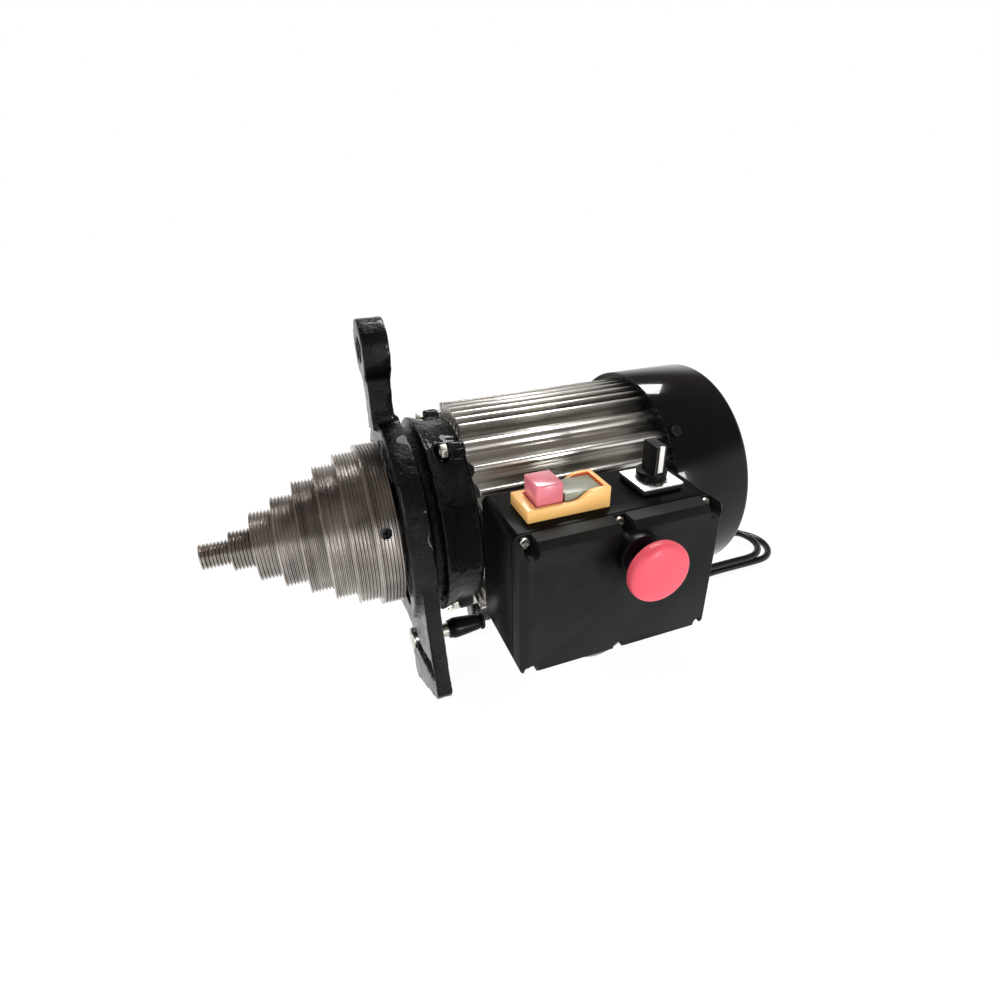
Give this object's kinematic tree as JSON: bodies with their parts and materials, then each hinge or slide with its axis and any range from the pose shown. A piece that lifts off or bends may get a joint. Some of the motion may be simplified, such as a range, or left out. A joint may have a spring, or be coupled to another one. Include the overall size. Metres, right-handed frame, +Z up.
{
  "type": "lathe drive motor unit",
  "caption": "Finned electric motor with a stepped poly-V cone pulley, a pivoting cast bracket with a belt tension slot, a side switch box and a mains lead.",
  "frame": {"origin": "centre of the pivot eye bore, on which the unit hangs", "axes": "+X along the pivot and the motor shaft from the pulley to the fan, +Z up, the switch box on the -Y side"},
  "size_m": [0.556, 0.3191, 0.2975],
  "materials": {
    "machined_steel": "fine turned",
    "black_steel": "black oxide",
    "ground_steel": "ground",
    "lamination": "dull stacked laminations",
    "cast_aluminium": "as cast",
    "fan_plastic": "matte",
    "bearing_steel": "polished",
    "seal_rubber": "matte",
    "bronze": "sintered",
    "black_cast_paint": "gloss paint on a rough casting",
    "extruded_aluminium": "satin extrusion",
    "enamelled_copper": "enamelled",
    "zinc_steel": "zinc plated",
    "gloss_black_steel": "high gloss",
    "black_plastic": "semi-gloss moulded",
    "grey_black_plastic": "fine matte",
    "white_plastic": "satin",
    "orange_plastic": "semi-gloss",
    "red_translucent_plastic": "semi-gloss",
    "green_grey_plastic": "satin",
    "brushed_plate": "brushed",
    "red_plastic": "satin",
    "cord_rubber": "smooth",
    "tie_fabric": "woven",
    "plug_nickel": "nickel plated"
  },
  "bodies": {
    "frame": {"front_bearing": "bearing_steel", "rear_bearing": "bearing_steel", "shaft_seal": "seal_rubber", "wave_washer": "bearing_steel", "mounting_bracket": "black_cast_paint", "pivot_bush": "bronze", "bracket_screws": "black_steel", "drive_end_shield": "black_cast_paint", "motor_housing": "extruded_aluminium", "cooling_fins": "extruded_aluminium", "stator_core": "lamination", "stator_windings": "enamelled_copper", "rear_end_shield": "black_cast_paint", "tie_bolts": "zinc_steel", "fan_cowl": "gloss_black_steel", "cowl_screws": "black_steel", "switch_box_base": "black_plastic", "switch_box_lid": "grey_black_plastic", "lid_gasket": "seal_rubber", "lid_screws": "zinc_steel", "box_mount_screws": "zinc_steel", "run_capacitor": "white_plastic", "terminal_block": "white_plastic", "lead_grommet": "seal_rubber", "start_stop_housing": "orange_plastic", "button_contactor": "black_plastic", "selector_gasket": "seal_rubber", "selector_plate": "brushed_plate", "selector_switch_body": "black_plastic", "estop_collar": "black_plastic", "estop_locknut": "zinc_steel", "estop_contact_block": "black_plastic", "mains_gland": "black_plastic", "strain_relief": "cord_rubber", "mains_cord": "cord_rubber", "cord_coil": "cord_rubber", "cord_tie": "tie_fabric", "plug_body": "cord_rubber", "plug_pins": "plug_nickel"},
    "rotor": {"cone_pulley": "machined_steel", "pulley_set_screws": "black_steel", "motor_shaft": "ground_steel", "shaft_key": "ground_steel", "rotor_core": "lamination", "rotor_cage": "cast_aluminium", "cooling_fan": "fan_plastic"},
    "stop_key": {"stop_button": "red_translucent_plastic"},
    "start_key": {"start_button": "green_grey_plastic"},
    "selector": {"selector_knob": "black_plastic", "selector_pointer": "white_plastic"},
    "estop_slider": {"estop_stem": "black_plastic"},
    "estop_cap": {"estop_mushroom": "red_plastic"},
    "clamp_carriage": {"clamp_stud": "zinc_steel", "clamp_washer": "zinc_steel"},
    "clamp_handle": {"clamp_grip": "black_plastic"}
  },
  "joints": [
    {"name": "rotor_spin", "type": "hinge", "parent": "frame", "child": "rotor", "pos_m": [0, -0.016, -0.1245], "axis": [1, 0, 0], "continuous": true},
    {"name": "stop_push", "type": "slide", "parent": "frame", "child": "stop_key", "axis": [0, 0, -1], "range_m": [0, 0.0025], "stiffness_N_per_m": 600},
    {"name": "start_push", "type": "slide", "parent": "frame", "child": "start_key", "axis": [0, 0, -1], "range_m": [0, 0.0025], "stiffness_N_per_m": 600},
    {"name": "selector_turn", "type": "hinge", "parent": "frame", "child": "selector", "pos_m": [0.143, -0.1285, -0.07], "axis": [0, 0, 1], "range_deg": [-45, 45]},
    {"name": "estop_push", "type": "slide", "parent": "frame", "child": "estop_slider", "axis": [0, 1, 0], "range_m": [0, 0.005]},
    {"name": "estop_twist", "type": "hinge", "parent": "estop_slider", "child": "estop_cap", "pos_m": [0.111, -0.168, -0.0888], "axis": [0, 1, 0], "range_deg": [0, 30], "stiffness_Nm_per_rad": 0.1},
    {"name": "clamp_swing", "type": "hinge", "parent": "frame", "child": "clamp_carriage", "pos_m": [0, 0, 0], "axis": [1, 0, 0], "range_deg": [-15, 4]},
    {"name": "clamp_turn", "type": "hinge", "parent": "clamp_carriage", "child": "clamp_handle", "pos_m": [0.02, -0.03575, -0.22569], "axis": [1, 0, 0], "continuous": true}
  ]
}
